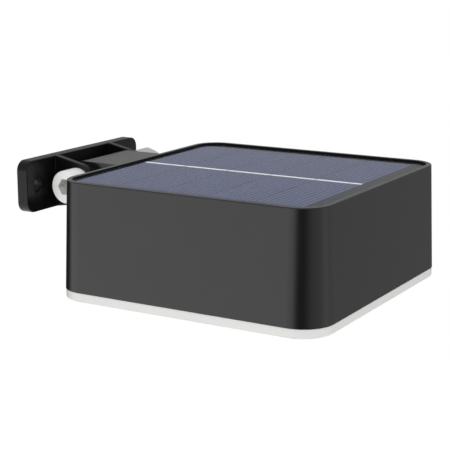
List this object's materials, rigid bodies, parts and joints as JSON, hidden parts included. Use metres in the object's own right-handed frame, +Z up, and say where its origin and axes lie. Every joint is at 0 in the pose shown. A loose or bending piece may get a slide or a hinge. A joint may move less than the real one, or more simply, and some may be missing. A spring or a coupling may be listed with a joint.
{
  "type": "solar fence light",
  "caption": "Square solar-powered light that hangs from a screw-on wall bracket and tilts about a cross bolt, with a milky plate that shines downward.",
  "frame": {"origin": "on the wall plane behind the bracket plate, midway along the plate and level with the tilt axis", "axes": "+Z up, +Y into the wall (the lamp reaches out along -Y), +X along the wall; at rest the lamp's top is level"},
  "size_m": [0.11, 0.1399, 0.0492],
  "materials": {
    "wall_bracket": "satin black powder coat on a casting",
    "tilt_bolt": "bright stainless",
    "tilt_nut": "bright stainless",
    "nut_washer": "bright stainless",
    "friction_washers": "black nylon",
    "housing": "satin dark grey powder coat on a casting",
    "tilt_bushing": "natural acetal",
    "panel_cover": "clear cast cover",
    "cell_ribbons": "tinned ribbon",
    "solar_cells": "dark blue-grey silicon",
    "panel_board": "grey laminate",
    "panel_adhesive": "black silicone",
    "lead_grommet": "black rubber",
    "panel_leads": "insulated wire",
    "battery_cell": "sleeved round cell",
    "battery_cradle": "black plastic",
    "battery_contacts": "nickel plated",
    "battery_leads": "insulated wire",
    "cradle_screws": "zinc plated",
    "control_board": "green board",
    "charge_chips": "moulded black",
    "storage_capacitor": "sleeved can",
    "choke_coil": "ferrite and enamelled wire",
    "board_screws": "zinc plated",
    "led_leads": "insulated wire",
    "light_tray": "white moulding",
    "led_board": "white board",
    "led_chips": "yellow phosphor",
    "tray_screws": "zinc plated",
    "switch_body": "black moulding",
    "button_spring": "spring wire",
    "button_collar": "black moulding",
    "collar_nut": "black moulding",
    "collar_seal": "black rubber",
    "diffuser": "milky acrylic",
    "diffuser_gasket": "black rubber",
    "diffuser_screws": "stainless",
    "push_button": "dark grey soft cap"
  },
  "bodies": {
    "bracket": {"wall_bracket": "wall_bracket", "tilt_bolt": "tilt_bolt", "tilt_nut": "tilt_nut", "nut_washer": "nut_washer", "friction_washers": "friction_washers"},
    "lamp": {"housing": "housing", "tilt_bushing": "tilt_bushing", "panel_cover": "panel_cover", "cell_ribbons": "cell_ribbons", "solar_cells": "solar_cells", "panel_board": "panel_board", "panel_adhesive": "panel_adhesive", "lead_grommet": "lead_grommet", "panel_leads": "panel_leads", "battery_cell": "battery_cell", "battery_cradle": "battery_cradle", "battery_contacts": "battery_contacts", "battery_leads": "battery_leads", "cradle_screws": "cradle_screws", "control_board": "control_board", "charge_chips": "charge_chips", "storage_capacitor": "storage_capacitor", "choke_coil": "choke_coil", "board_screws": "board_screws", "led_leads": "led_leads", "light_tray": "light_tray", "led_board": "led_board", "led_chips": "led_chips", "tray_screws": "tray_screws", "switch_body": "switch_body", "button_spring": "button_spring", "button_collar": "button_collar", "collar_nut": "collar_nut", "collar_seal": "collar_seal", "diffuser": "diffuser", "diffuser_gasket": "diffuser_gasket", "diffuser_screws": "diffuser_screws"},
    "button": {"push_button": "push_button"}
  },
  "joints": [
    {"name": "lamp_tilt", "type": "hinge", "parent": "bracket", "child": "lamp", "pos_m": [0, -0.0157, 0], "axis": [1, 0, 0], "range_deg": [-90, 40]},
    {"name": "button_press", "type": "slide", "parent": "lamp", "child": "button", "axis": [0, 0, 1], "range_m": [0, 0.0012], "stiffness_N_per_m": 1200, "springref_m": -0.0008, "deforming": ["button_spring"]}
  ]
}
